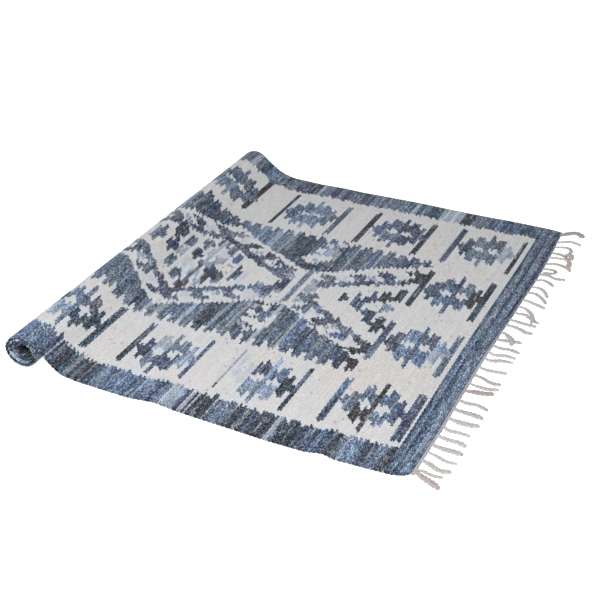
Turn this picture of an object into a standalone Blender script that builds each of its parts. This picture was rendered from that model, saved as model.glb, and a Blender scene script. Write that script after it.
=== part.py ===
"""Rag rug, flat-woven from denim and cotton strips, with one end rolled under and a fringe at the other.

The cloth is one piece: a flat stretch, a slope up onto the roll, and the roll itself, wound so that
the pattern side stays outside. Metres, +Z up, the floor at z = 0. The rug is laid out with its
fringed end at x = 0, the cloth running towards -X and the near selvedge at y = 0. At the end it is
moved so that the origin is at the middle of its footprint.
"""
import math
from collections import namedtuple

import bmesh
import bpy
import numpy as np
from mathutils import Vector

# Driving sizes of the cloth
WIDTH = 1.400
LENGTH = 1.970
CLOTH = 0.0055

# The cloth's rise from the floor onto the roll, and the roll, at the near and the far selvedge:
# foot, where the cloth leaves the floor, behind the fringed end; foot_pull and roll_pull, how
# long the slope keeps its direction at each end; leave, the angle on the roll where the slope
# meets it; roll, the roll's middle; half_width and half_height, its outer turn's half sizes;
# side_step and top_step, how far each turn lies inside the last. The roll's sizes are to the
# middle of the cloth. It is looser and thicker at the near selvedge.
Rise = namedtuple("Rise", "foot foot_pull roll_pull leave roll half_width half_height side_step top_step")
NEAR_RISE = Rise(1.010, 0.030, 0.040, 45.0, 1.132, 0.0540, 0.0470, 0.0082, 0.0078)
FAR_RISE = Rise(0.960, 0.090, 0.035, 50.0, 1.148, 0.0472, 0.0417, 0.0068, 0.0064)
ROLL_SETTLED = 0.0005
MOST_TURNS = 4.9
RISE_BLEND = 0.7

# Uneven outline. Along the cloth from the fringed end: how far each selvedge lies inside the
# straight line. Across the cloth: how far the fringed end stands out.
Edge = namedtuple("Edge", "along near far")
EDGES = (
    Edge(0.000, 0.028, 0.007),
    Edge(0.010, 0.016, 0.004),
    Edge(0.040, 0.006, 0.001),
    Edge(0.100, 0.002, 0.000),
    Edge(0.190, -0.002, -0.001),
    Edge(0.225, 0.006, 0.001),
    Edge(0.270, -0.005, 0.002),
    Edge(0.370, -0.007, 0.002),
    Edge(0.500, -0.003, -0.002),
    Edge(0.640, 0.001, 0.001),
    Edge(0.720, 0.009, 0.003),
    Edge(0.790, -0.002, 0.000),
    Edge(0.880, -0.001, 0.004),
    Edge(0.960, 0.001, -0.001),
    Edge(1.030, 0.010, 0.002),
    Edge(1.120, 0.001, 0.004),
    Edge(1.240, -0.006, 0.002),
    Edge(1.400, -0.005, 0.005),
    Edge(1.600, -0.003, 0.002),
    Edge(1.780, 0.004, 0.006),
    Edge(LENGTH, 0.008, 0.004),
)
End = namedtuple("End", "across out")
END_LINE = (
    End(0.00, -0.002),
    End(0.20, 0.001),
    End(0.40, -0.001),
    End(0.60, -0.002),
    End(0.80, 0.002),
    End(0.95, 0.005),
    End(1.12, 0.008),
    End(1.28, 0.004),
    End(1.40, -0.002),
)
END_LINE_FADE = 0.12

# The cloth's mesh: places along and across where its shape is worked out
STATIONS_ACROSS = 13
FLAT_STEP = 0.050
CORNER_STEPS = (0.0, 0.010, 0.025)
WOUND_STEP = (0.014, 0.008)
PATH_STEP_DEG = 3.0
PATH_FLAT_STEP = 0.010
SLOPE_STEPS = 24

# The fringe: a narrow cotton heading along the cloth's end, and its knotted strands. A strand
# is ROOT_WIDTH of its width at the heading and STRAND_TIP of it at its tip, full between the
# shares in STRAND_FULL, and STRAND_TOP as wide on top as on the floor.
PARTING = 0.0003
HEADING_WIDTH = 0.010
HEADING_HEIGHT = 0.0040
STRAND_HEIGHT = 0.0050
STRAND_TOP = 0.62
STRAND_STEPS = 6
STRAND_TIP = 0.75
ROOT_WIDTH = 0.75
STRAND_FULL = (0.25, 0.80)
STRAND_LOOK = 0.02
MM = 0.001

# One row a strand, from the far corner to the near one, in millimetres: root, its place across
# the cloth; reach, its tip's distance out from the cloth's end; mid and tip, how far its middle
# and its tip lie across from the root; width.
Strand = namedtuple("Strand", "root reach mid tip width")
STRANDS = (
    Strand(1378, 78, 30, 11, 13),
    Strand(1320, 85, 18, 8, 8),
    Strand(1283, 66, 9, -15, 9),
    Strand(1244, 60, -3, -9, 8),
    Strand(1206, 87, 5, -2, 8),
    Strand(1162, 101, 12, -20, 9),
    Strand(1129, 54, 2, -6, 7),
    Strand(1104, 50, -1, 5, 7),
    Strand(1083, 93, 2, -2, 8),
    Strand(1046, 74, 12, -13, 8),
    Strand(1004, 74, -2, -43, 8),
    Strand(968, 80, -8, -42, 8),
    Strand(920, 85, -6, -23, 9),
    Strand(880, 89, -18, -66, 9),
    Strand(842, 56, -5, -15, 8),
    Strand(797, 89, -5, -7, 9),
    Strand(762, 91, -6, -14, 9),
    Strand(723, 74, -22, -30, 10),
    Strand(680, 34, 0, 0, 9),
    Strand(648, 85, -9, -11, 8),
    Strand(611, 84, -5, -4, 8),
    Strand(574, 82, 2, 9, 9),
    Strand(528, 83, -6, -1, 8),
    Strand(487, 84, -12, -16, 9),
    Strand(446, 86, -7, 2, 8),
    Strand(407, 80, 5, 14, 12),
    Strand(361, 88, -6, -15, 8),
    Strand(317, 87, -3, -9, 11),
    Strand(275, 90, -7, -1, 12),
    Strand(239, 81, -13, -14, 8),
    Strand(194, 85, -5, -13, 10),
    Strand(157, 89, -5, -6, 11),
    Strand(124, 87, -11, -14, 6),
    Strand(89, 85, -14, -13, 10),
    Strand(57, 74, -5, -6, 7),
    Strand(38, 79, -14, -32, 14),
)

DENIM = (0.105, 0.155, 0.255, 1.0)
COTTON = (0.450, 0.425, 0.390, 1.0)
WOVEN_ROUGHNESS = 0.92


def start_empty():
    """Remove whatever the scene holds and return a collection for the rug."""
    for old in list(bpy.data.objects):
        bpy.data.objects.remove(old, do_unlink=True)
    rug_collection = bpy.data.collections.new("rag_rug")
    bpy.context.scene.collection.children.link(rug_collection)
    return rug_collection


def cloth_material(name, colour):
    """A matt woven material of one colour."""
    material = bpy.data.materials.new(name)
    material.use_nodes = True
    shader = material.node_tree.nodes["Principled BSDF"]
    shader.inputs["Base Color"].default_value = colour
    shader.inputs["Roughness"].default_value = WOVEN_ROUGHNESS
    shader.inputs["Metallic"].default_value = 0.0
    return material


def add_object(name, mesh_builder, material, collection):
    """Make an object of a filled bmesh."""
    mesh = bpy.data.meshes.new(name)
    mesh_builder.to_mesh(mesh)
    mesh_builder.free()
    mesh.materials.append(material)
    new_object = bpy.data.objects.new(name, mesh)
    collection.objects.link(new_object)
    return new_object


def rise_at(across):
    """The cloth's rise at a place across the width, between the near and the far one."""
    share = (across / WIDTH) ** RISE_BLEND
    return Rise(*(near + (far - near) * share for near, far in zip(NEAR_RISE, FAR_RISE)))


def on_roll(rise, turned):
    """A point on the wound cloth's middle, turned radians past the place where the slope meets it."""
    angle = math.radians(rise.leave) + turned
    turns = turned / (2 * math.pi)
    half_width = rise.half_width - rise.side_step * turns
    half_height = rise.half_height - rise.top_step * turns
    middle_z = rise.half_height + CLOTH / 2 - ROLL_SETTLED
    x = -rise.roll + half_width * math.cos(angle)
    z = middle_z + half_height * math.sin(angle)
    return np.array((x, max(z, CLOTH / 2)))


def slope_points(rise):
    """The slope's middle line, a Bezier curve that runs on smoothly from the floor and into the roll."""
    start = np.array((-rise.foot, CLOTH / 2))
    end = on_roll(rise, 0.0)
    ahead = on_roll(rise, math.radians(PATH_STEP_DEG)) - end
    ahead /= np.linalg.norm(ahead)
    first = start + np.array((-rise.foot_pull, 0.0))
    second = end - ahead * rise.roll_pull
    points = []
    for step in range(1, SLOPE_STEPS + 1):
        t = step / SLOPE_STEPS
        rest = 1 - t
        points.append(rest**3 * start + 3 * rest**2 * t * first + 3 * rest * t**2 * second + t**3 * end)
    return points


def cloth_path(across):
    """The middle line of the cloth's side view: its points, and the cloth's length up to each."""
    rise = rise_at(across)
    points = [np.array((-x, CLOTH / 2)) for x in np.arange(0.0, rise.foot, PATH_FLAT_STEP)]
    points.append(np.array((-rise.foot, CLOTH / 2)))
    points += slope_points(rise)
    for degrees in np.arange(PATH_STEP_DEG, 360 * MOST_TURNS, PATH_STEP_DEG):
        points.append(on_roll(rise, math.radians(degrees)))
    points = np.array(points)
    lengths = np.concatenate(([0.0], np.cumsum(np.linalg.norm(np.diff(points, axis=0), axis=1))))
    return points, lengths


def places_along():
    """Where the cloth's shape is worked out along its length: wide apart on the flat, close on the roll."""
    places = list(CORNER_STEPS)
    rise_start = FAR_RISE.foot - 2 * FLAT_STEP
    while places[-1] < rise_start:
        places.append(places[-1] + FLAT_STEP)
    while places[-1] < LENGTH:
        share = (places[-1] - rise_start) / (LENGTH - rise_start)
        places.append(places[-1] + WOUND_STEP[0] + (WOUND_STEP[1] - WOUND_STEP[0]) * share)
    stretch = LENGTH - rise_start
    wound = places[-1] - rise_start
    return [p if p <= rise_start else rise_start + (p - rise_start) * stretch / wound for p in places]


def selvedges(along):
    """The two selvedges' places across the cloth, at a length from the fringed end."""
    lengths = [edge.along for edge in EDGES]
    near = np.interp(along, lengths, [edge.near for edge in EDGES])
    far = np.interp(along, lengths, [edge.far for edge in EDGES])
    return near, WIDTH - far


def end_line(across):
    """How far the fringed end stands out at a place across the cloth."""
    return float(np.interp(across, [end.across for end in END_LINE], [end.out for end in END_LINE]))


def cloth_sheet():
    """The cloth's middle surface: a line of points down its length, extruded across the width."""
    places = places_along()
    sheet = bmesh.new()
    line = [sheet.verts.new((0.0, 0.0, 0.0)) for _ in places]
    edges = [sheet.edges.new(pair) for pair in zip(line, line[1:])]
    for station in range(STATIONS_ACROSS):
        share = station / (STATIONS_ACROSS - 1)
        if station:
            made = bmesh.ops.extrude_edge_only(sheet, edges=edges)["geom"]
            edges = [item for item in made if isinstance(item, bmesh.types.BMEdge) and item.is_boundary]
            edges = [edge for edge in edges if not any(v in line for v in edge.verts)]
            line = sorted({v for edge in edges for v in edge.verts}, key=lambda v: v.index)
        path, lengths = cloth_path(share * WIDTH)
        sheet.verts.index_update()
        for vert, along in zip(line, places):
            near, far = selvedges(along)
            across = near + (far - near) * share
            fade = max(0.0, 1.0 - along / END_LINE_FADE)
            x = np.interp(along, lengths, path[:, 0]) + end_line(across) * fade
            z = np.interp(along, lengths, path[:, 1])
            vert.co = (x, across, z)
    return sheet


def build_cloth(material, collection):
    """The rug's cloth, its middle surface given the cloth's thickness."""
    sheet = cloth_sheet()
    bmesh.ops.recalc_face_normals(sheet, faces=sheet.faces)
    cloth = add_object("rug", sheet, material, collection)
    cloth.data.shade_smooth()
    thickness = cloth.modifiers.new("cloth_thickness", "SOLIDIFY")
    thickness.thickness = CLOTH
    thickness.offset = 0.0
    thickness.use_even_offset = True
    return cloth


def strand_middle(strand, share):
    """A strand's middle on the floor, at a share of its way from root to tip."""
    start = end_line(strand.root * MM) + PARTING + HEADING_WIDTH
    bow = strand.mid - strand.tip / 2
    across = strand.root + strand.tip * share + 4 * bow * share * (1 - share)
    return np.array((start + (strand.reach * MM - start) * share, across * MM))


def strand_section(strand, share):
    """A strand's four corners at a share of its length, as (x, y, z)."""
    middle = strand_middle(strand, share)
    after = strand_middle(strand, min(1.0, share + STRAND_LOOK))
    ahead = after - strand_middle(strand, max(0.0, share - STRAND_LOOK))
    side = np.array((-ahead[1], ahead[0])) / np.linalg.norm(ahead)
    if share == 0:
        side = np.array((0.0, 1.0))
    swell = np.interp(share, (0.0, *STRAND_FULL, 1.0), (ROOT_WIDTH, 1.0, 1.0, STRAND_TIP))
    height = np.interp(share, (0.0, STRAND_FULL[0]), (HEADING_HEIGHT, STRAND_HEIGHT))
    half = strand.width * MM * swell / 2
    top_half = half * (1.0 if share == 0 else STRAND_TOP)
    corners = []
    for out, z in ((-half, 0.0), (half, 0.0), (top_half, height), (-top_half, height)):
        corners.append((*(middle + side * out), z))
    return corners


def heading_breaks():
    """Places across the cloth where the heading's front changes between strand roots and gaps."""
    near, far = selvedges(0.0)
    breaks = [near, far]
    for strand in STRANDS:
        half = strand.width * MM * ROOT_WIDTH / 2
        breaks += [strand.root * MM - half, strand.root * MM + half]
    return sorted(breaks)


def grow_strand(fringe, face, strand):
    """Draw one strand out of its root face, section by section."""
    for step in range(1, STRAND_STEPS + 1):
        face = bmesh.ops.extrude_discrete_faces(fringe, faces=[face])["faces"][0]
        corners = strand_section(strand, step / STRAND_STEPS)
        previous = strand_section(strand, (step - 1) / STRAND_STEPS)
        for vert in face.verts:
            nearest = min(range(4), key=lambda i: (vert.co - Vector(previous[i])).length)
            vert.co = corners[nearest]


def build_fringe(material, collection):
    """The heading as one strip, with a strand drawn out of each root face of its front."""
    fringe = bmesh.new()
    breaks = heading_breaks()
    verts = [fringe.verts.new((end_line(y) + PARTING, y, 0.0)) for y in breaks]
    edges = [fringe.edges.new(pair) for pair in zip(verts, verts[1:])]
    back = bmesh.ops.extrude_edge_only(fringe, edges=edges)["geom"]
    top = [item for item in back if isinstance(item, bmesh.types.BMVert)]
    bmesh.ops.translate(fringe, verts=top, vec=(0.0, 0.0, HEADING_HEIGHT))
    strip = bmesh.ops.extrude_face_region(fringe, geom=fringe.faces[:])["geom"]
    front = [item for item in strip if isinstance(item, bmesh.types.BMFace)]
    moved = [item for item in strip if isinstance(item, bmesh.types.BMVert)]
    bmesh.ops.translate(fringe, verts=moved, vec=(HEADING_WIDTH, 0.0, 0.0))
    roots = []
    for strand in STRANDS:
        roots.append(min(front, key=lambda face: abs(face.calc_center_median().y - strand.root * MM)))
    for face, strand in zip(roots, STRANDS):
        grow_strand(fringe, face, strand)
    bmesh.ops.recalc_face_normals(fringe, faces=fringe.faces)
    return add_object("fringe", fringe, material, collection)


def centre_on_footprint(pieces):
    """Move the pieces together so that the origin is at the bottom middle of their box."""
    graph = bpy.context.evaluated_depsgraph_get()
    corners = []
    for piece in pieces:
        evaluated = piece.evaluated_get(graph)
        mesh = evaluated.to_mesh()
        corners += [tuple(v.co) for v in mesh.vertices]
        evaluated.to_mesh_clear()
    corners = np.array(corners)
    low, high = corners.min(axis=0), corners.max(axis=0)
    for piece in pieces:
        piece.location = (-(low[0] + high[0]) / 2, -(low[1] + high[1]) / 2, -low[2])


def main():
    collection = start_empty()
    denim = cloth_material("denim_weave", DENIM)
    cotton = cloth_material("cotton_fringe", COTTON)
    cloth = build_cloth(denim, collection)
    fringe = build_fringe(cotton, collection)
    centre_on_footprint([cloth, fringe])


main()
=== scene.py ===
"""Rag rug, partly rolled: a flat-woven rug of denim and cotton rags with a knotted cotton fringe.

The cloth, its cotton heading and its fringe are each a step of this add-on, and so is the plain
studio floor they lie on. Lengths are metres, +Z is up and the floor is at z = 0.
"""
import math
from collections import namedtuple

import bmesh
import bpy
import numpy as np
from mathutils import Matrix, Vector


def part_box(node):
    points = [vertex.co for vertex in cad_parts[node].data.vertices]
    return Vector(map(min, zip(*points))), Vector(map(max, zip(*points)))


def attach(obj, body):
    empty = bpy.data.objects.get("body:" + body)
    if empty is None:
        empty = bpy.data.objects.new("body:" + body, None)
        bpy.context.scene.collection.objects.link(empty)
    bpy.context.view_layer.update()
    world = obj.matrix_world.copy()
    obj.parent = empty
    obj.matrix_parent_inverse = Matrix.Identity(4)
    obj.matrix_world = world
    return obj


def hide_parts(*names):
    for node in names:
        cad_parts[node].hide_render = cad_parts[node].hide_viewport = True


bl_info = {
    "name": "Rag Rug",
    "version": (1, 0, 0),
    "blender": (4, 5, 0),
    "location": "View3D > Sidebar > Rag Rug",
    "description": "Builds a partly rolled rag rug with a cotton fringe",
    "category": "Add Mesh",
}

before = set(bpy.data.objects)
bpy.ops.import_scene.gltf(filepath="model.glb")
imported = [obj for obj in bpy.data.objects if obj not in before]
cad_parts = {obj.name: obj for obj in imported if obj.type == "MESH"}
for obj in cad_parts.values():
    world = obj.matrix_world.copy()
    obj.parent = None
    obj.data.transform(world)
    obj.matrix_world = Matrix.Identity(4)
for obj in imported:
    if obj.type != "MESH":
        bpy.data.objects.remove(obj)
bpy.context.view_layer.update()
RUG_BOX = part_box("rug")

# The rug is laid out with its fringed end at x = 0, the cloth running towards -X and the near
# selvedge at y = 0, and ORIGIN moves that layout to where the solid is.
END_STANDS_OUT = 0.0069
NEAR_STANDS_OUT = 0.0068
ORIGIN = Vector((RUG_BOX[1].x - END_STANDS_OUT, RUG_BOX[0].y + NEAR_STANDS_OUT, 0.0))

# Sizes of the cloth
WIDTH = 1.400
LENGTH = 1.970
CLOTH = 0.0055
MM = 0.001

# The cloth's rise from the floor onto the roll, and the roll, at the near and the far selvedge
Rise = namedtuple("Rise", "foot foot_pull roll_pull leave roll half_width half_height side_step top_step")
NEAR_RISE = Rise(1.010, 0.030, 0.040, 45.0, 1.132, 0.0540, 0.0470, 0.0082, 0.0078)
FAR_RISE = Rise(0.960, 0.090, 0.035, 50.0, 1.148, 0.0472, 0.0417, 0.0068, 0.0064)
ROLL_SETTLED = 0.0005
MOST_TURNS = 4.9
RISE_BLEND = 0.7
SLOPE_STEPS = 24
PATH_STEP_DEG = 3.0
PATH_FLAT_STEP = 0.010


def metres(text):
    """A row of whole millimetres, as metres."""
    return [int(part) / 1000 for part in text.split()]


# Uneven outline. Along the cloth from the fringed end: how far each selvedge lies inside the
# straight line. Across the cloth: how far the fringed end stands out.
EDGE_ALONG = metres("0 10 40 100 190 225 270 370 500 640 720 790 880 960 1030 1120 1240 1400 1600 1780 1970")
EDGE_NEAR = metres("28 16 6 2 -2 6 -5 -7 -3 1 9 -2 -1 1 10 1 -6 -5 -3 4 8")
EDGE_FAR = metres("7 4 1 0 -1 1 2 2 -2 1 3 0 4 -1 2 4 2 5 2 6 4")
END_ACROSS = metres("0 200 400 600 800 950 1120 1280 1400")
END_OUT = metres("-2 1 -1 -2 2 5 8 4 -2")
END_LINE_FADE = 0.12

# The weave is charted in steps of two shots along the cloth and two warps across it, so a shot of
# rag is 3.4 mm wide and a warp is 4.2 mm from the next
SHOTS = 290
WARPS = 167
SHOT = LENGTH / SHOTS
WARP = WIDTH / WARPS
SHOT_SWELL = 0.15
SHOT_BOW = 0.002
BOW_FADE = 0.07
SELVEDGE_LOOP = 0.0009
SELVEDGE_THIN = 0.5
BEAD_RELIEF = 0.0009
# White that the lightest beads take on: the denim's white weft, partly painted highlight
WEFT_AND_HIGHLIGHT_WHITE = (0.088, 0.087, 0.087)
WEAVE_SEED = 11
# Where two rags meet, how far every other turn is from the next, and how uneven blocks of turns
# are, all in warps
TURN = 0.30
TURN_UNEVEN = 0.50
TURN_BLOCK = 7
# How a rag's tone changes: from shot to shot, over long and short stretches and from cell to cell
TONE_SHOT, TONE_LONG, TONE_SHORT, TONE_CELL = 0.40, 0.30, 0.42, 0.24
# How far each slow change reaches along a shot, in warps
LONG_STRETCH, SHORT_STRETCH, FADED_STRETCH, BLUE_STRETCH, GREEN_STRETCH = 19, 5, 15, 9, 13
# Rags more uneven than DENIM_FROM are denim, which fades, and cream turns pinkish from ROSE_FROM
DENIM_FROM = 0.12
FADE_STRETCH, FADE_CELL, FADE_FROM, FADE_MOST = 0.35, 0.12, 0.30, 0.45
ROSE_FROM = 1.9
# How far denim leans to blue: with its shot, its long stretches, and a slow sway and its low parts
BLUE_SHOT, BLUE_LONG, BLUE_SWAY, BLUE_LOW = 0.12, -0.16, 0.22, 0.16
GREEN_SWAY = 0.14
# The cream's blush comes and goes along and across, and its warm patch has a middle and a reach
BLUSH = 0.014
BLUSH_ALONG, BLUSH_ACROSS = 23, 17
WARM_MIDDLE = (0.20, 0.37)
WARM_REACH = (0.17, 0.15)
# How small changes of hue push red, green and blue
BLUE_LEAN = (-0.5, 0.0, 0.5)
GREEN_LEAN = (-0.25, 0.5, -0.25)
RUBBED_LEAN = (-0.05, 0.03, 0.11)
BLUSH_LEAN = (1.0, -0.5, -0.5)
WARM_LEAN = (0.006, -0.020, -0.052)
CAUGHT_LEAN = (-0.30, -0.34, -0.40)
CAUGHT_SHARE = 0.010
# Painted shade: how much the outermost warps are darkened outside the roll
SELVEDGE_SHADE = -0.30
NEXT_RAG_SHARE = 0.7


def linear(hex_colour):
    """An sRGB hex colour as linear red, green and blue."""
    parts = [int(hex_colour[i : i + 2], 16) / 255 for i in (1, 3, 5)]
    return tuple(p / 12.92 if p <= 0.04045 else ((p + 0.055) / 1.055) ** 2.4 for p in parts)


# The rags: the colour as it looks by daylight, and how uneven it is from shot to shot
Rag = namedtuple("Rag", "label colour uneven")
RAGS = {
    "cream": Rag("Cream cotton", "#d2d1d1", 0.035),
    "rose": Rag("Pinkish cotton", "#dad0cc", 0.035),
    "frost": Rag("Palest denim", "#c3c7d0", 0.08),
    "pale": Rag("Bleached denim", "#a0b0c1", 0.16),
    "lilac": Rag("Greyed denim", "#a1a8b6", 0.16),
    "light": Rag("Light denim", "#8a9bb3", 0.24),
    "denim": Rag("Washed denim", "#72849d", 0.30),
    "blue": Rag("Bright denim", "#687a9c", 0.28),
    "mid": Rag("Mid denim", "#5d6e89", 0.32),
    "slate": Rag("Slate denim", "#6c798b", 0.30),
    "plum": Rag("Purple-grey cotton", "#585f76", 0.30),
    "navy": Rag("Navy denim", "#46526e", 0.34),
    "teal": Rag("Green-blue cotton", "#435465", 0.34),
    "charcoal": Rag("Charcoal cotton", "#3b4554", 0.34),
    "umber": Rag("Brown-black cotton", "#403f46", 0.34),
}
RAG_NAMES = tuple(RAGS)
CREAM = RAG_NAMES.index("cream")


def value(word):
    """A word of a table: a whole number is in millimetres, and one with a point stays as it is."""
    if word.isdigit():
        return int(word) / 1000
    return float(word) if "." in word else word


def table(kind, text):
    """A table of rows parted by commas, each a row of words."""
    return [kind(*map(value, row.split())) for row in text.split(",")]


# What the borders and the blue panel are woven of: where each rag starts, from the fringed end
Run = namedtuple("Run", "start rag")
# From 1430 on, inside the roll, the near border's rags are dark, partly as painted shade for the inside of
# the roll
NEAR_BORDER = table(Run, """
    0 mid, 58 charcoal, 74 slate, 88 denim, 108 mid, 125 charcoal, 133 navy, 145 mid, 152 denim, 178 light,
    190 slate, 204 charcoal, 216 umber, 224 navy, 238 mid, 262 navy, 282 mid, 292 navy, 312 charcoal,
    330 teal, 338 charcoal, 364 slate, 376 lilac, 390 charcoal, 410 umber, 416 charcoal, 436 navy,
    452 charcoal, 472 plum, 480 charcoal, 500 mid, 514 slate, 532 blue, 548 slate, 564 light, 574 charcoal,
    590 umber, 598 slate, 604 charcoal, 618 lilac, 626 charcoal, 632 lilac, 642 slate, 648 navy, 658 light,
    666 pale, 700 frost, 706 denim, 725 navy, 745 mid, 778 light, 788 mid, 812 blue, 826 mid, 850 blue,
    865 mid, 900 denim, 925 navy, 938 charcoal, 952 slate, 960 umber, 972 slate, 985 charcoal, 998 slate,
    1020 teal, 1030 charcoal, 1044 umber, 1050 navy, 1062 slate, 1070 navy, 1082 lilac, 1088 navy, 1100 mid,
    1130 denim, 1162 blue, 1200 navy, 1213 blue, 1230 teal, 1262 navy, 1300 mid, 1345 slate, 1390 teal,
    1430 charcoal, 1520 navy, 1580 umber, 1660 charcoal, 1700 umber
""")
FAR_BORDER = table(Run, """
    0 mid, 35 navy, 60 mid, 90 teal, 120 mid, 140 navy, 185 blue, 205 navy, 232 slate, 282 umber,
    296 charcoal, 312 umber, 328 pale, 345 frost, 358 pale, 378 frost, 390 pale, 400 teal, 425 navy,
    448 denim, 466 navy, 482 mid, 492 pale, 502 mid, 530 denim, 548 slate, 570 denim, 600 lilac, 606 slate,
    650 mid, 658 charcoal, 668 plum, 700 slate, 740 plum, 770 slate, 790 navy, 812 slate, 850 lilac,
    862 charcoal, 905 plum, 930 teal, 945 slate, 985 charcoal, 1005 denim, 1050 blue, 1080 teal, 1105 slate,
    1130 lilac, 1150 slate, 1190 teal, 1215 navy, 1260 mid, 1400 slate, 1550 denim, 1750 navy
""")
NEAR_PANEL = table(Run, """
    300 umber, 335 charcoal, 352 umber, 362 navy, 385 plum, 395 slate, 405 mid, 430 slate, 462 mid,
    480 charcoal, 494 navy, 510 blue, 530 denim, 545 lilac, 553 slate, 562 mid, 590 charcoal, 600 slate,
    616 pale, 626 lilac, 634 teal, 660 navy, 690 teal, 706 slate, 722 lilac, 730 slate, 750 teal, 765 lilac,
    772 teal, 785 charcoal, 826 slate, 846 mid, 853 pale, 868 slate, 885 mid, 920 slate, 945 lilac,
    958 slate, 985 lilac, 1000 slate, 1018 teal, 1040 slate, 1085 mid, 1100 slate, 1150 mid, 1180 slate,
    1210 navy, 1260 slate, 1400 teal, 1550 mid
""")
FAR_PANEL = table(Run, """
    300 plum, 325 slate, 350 mid, 365 charcoal, 385 plum, 405 slate, 428 mid, 440 slate, 466 lilac, 474 mid,
    500 slate, 520 plum, 536 mid, 548 lilac, 558 slate, 570 mid, 585 teal, 600 mid, 615 denim, 660 mid,
    690 navy, 712 teal, 735 navy, 750 charcoal, 764 teal, 776 slate, 785 lilac, 798 slate, 815 mid,
    830 light, 850 slate, 868 denim, 890 light, 905 denim, 940 mid, 958 slate, 985 plum, 1010 slate,
    1025 navy, 1050 plum, 1085 navy, 1120 charcoal, 1140 slate, 1175 light, 1200 slate, 1400 navy
""")
END_BORDER = "denim-denim-denim-mid-mid-navy-denim-mid-navy"
END_BORDER_FAR = "navy-mid-slate-slate-navy-slate-mid-slate-teal"
# The rolled end's stripes are dark, partly as painted shade for the inside of the roll
END_BORDER_ROLLED = "charcoal-umber-umber-navy-umber-charcoal-umber-navy-charcoal"
END_BORDER_TURN = 0.78
END_BORDER_SWAY = 0.25
# The outermost warp of the near selvedge, in the roll
ROLL_EDGE = table(Run, """
    1400 slate, 1460 light, 1500 teal, 1530 pale, 1570 slate, 1610 charcoal, 1640 light, 1670 teal,
    1730 slate, 1770 charcoal, 1830 slate, 1860 charcoal
""")
NEAR_BORDER_WIDTH = 0.096
FAR_BORDER_WIDTH = 0.094

# The panel: its two long sides, notched every third step by this many warps, and the waists and
# the open ends of its pale figure, mirrored about the middle of the rug
PANEL_START = 0.302
PANEL_NEAR = 0.360
PANEL_FAR = 1.022
NEAR_NOTCH = 3.0
FAR_NOTCH = 2.5
FIGURE_ALONG = (0.302, 0.650, 0.985, 1.320, 1.668)
FIGURE_NEAR = (0.410, 0.605, 0.425, 0.605, 0.410)
FIGURE_FAR = (0.990, 0.792, 0.975, 0.792, 0.990)

# Star medallions. The chart is one quarter of a star: how many warps high each
# pair of shots is, from the spine outwards, and then the share of the eye's height there.
STAR_CHARTS = {"slim": (13, 7, 10, 9, 5, 6, 2, 1), "full": (13, 8, 10, 10, 6, 7, 3, 1)}
STAR_EYE = (0.0, 0.6, 1.0, 0.3)
# A star: its middle, its chart, the height of its eyes in warps, and its rags from the rolled
# end's side to the fringe's side, above and below its middle
Star = namedtuple("Star", "along across chart eye above below")
STARS = table(Star, """
    184 232 slim 2.6 slate-mid-umber-mid-navy mid-umber-umber-denim-navy,
    493 220 slim 2.3 frost-navy-light-mid-charcoal frost-light-denim-light-charcoal,
    813 215 slim 2.6 navy-lilac-slate-slate-light charcoal-slate-plum-navy-light,
    1138 225 slim 2.6 charcoal-blue-denim-plum-teal pale-light-denim-teal-teal,
    1465 225 full 2.6 slate-navy-mid-denim-slate mid-slate-navy-mid-light,
    1782 225 full 2.6 denim-slate-navy-mid-slate slate-navy-mid-slate-denim,
    184 1163 full 1.8 plum-slate-slate-plum-lilac teal-slate-slate-slate-lilac,
    486 1160 full 1.8 mid-mid-navy-teal-navy blue-slate-slate-navy-plum,
    802 1160 full 1.1 mid-mid-light-denim-slate mid-denim-light-denim-slate,
    1125 1165 full 1.8 slate-mid-mid-slate-navy slate-denim-light-slate-slate,
    1465 1160 full 1.8 slate-mid-navy-slate-mid mid-slate-denim-slate-mid,
    1782 1160 full 1.8 slate-mid-navy-slate-mid mid-slate-denim-slate-mid,
    186 540 full 2.4 plum-denim-mid-plum-light charcoal-blue-slate-blue-lilac,
    188 857 full 2.3 mid-mid-navy-slate-umber teal-mid-mid-mid-umber
""")
# The bars beside the stars: along, from and to across, half the width along in shots, the share
# of the bar where its rag changes, and the rags below and above that
Bar = namedtuple("Bar", "along near far wide split below above")
BAR_SWAY = 0.012
BARS = table(Bar, """
    82 118 335 1.7 0.45 navy plum, 286 118 325 1.5 0.5 navy mid, 398 118 325 1.0 0.5 charcoal plum,
    592 200 310 1.0 0.5 frost frost, 606 122 315 0.6 0.18 plum lilac, 714 124 325 1.2 0.22 navy mid,
    914 135 335 1.3 0.5 charcoal plum, 1036 120 350 1.2 0.62 teal plum, 1245 125 340 1.2 0.5 charcoal navy,
    82 1040 1270 1.3 0.5 umber umber, 290 1040 1270 1.3 0.5 plum teal, 392 1040 1270 1.3 0.5 umber charcoal,
    593 1035 1270 1.3 0.5 charcoal umber, 702 1045 1265 1.2 0.5 slate plum,
    910 1045 1280 1.3 0.5 umber charcoal, 1036 1075 1310 1.3 0.5 umber umber,
    1226 1050 1285 1.2 0.5 navy slate, 88 428 640 1.5 0.5 slate slate, 290 425 640 1.2 0.5 slate plum,
    94 735 970 1.4 0.5 teal charcoal, 290 735 960 1.4 0.5 charcoal umber
""")
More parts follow.
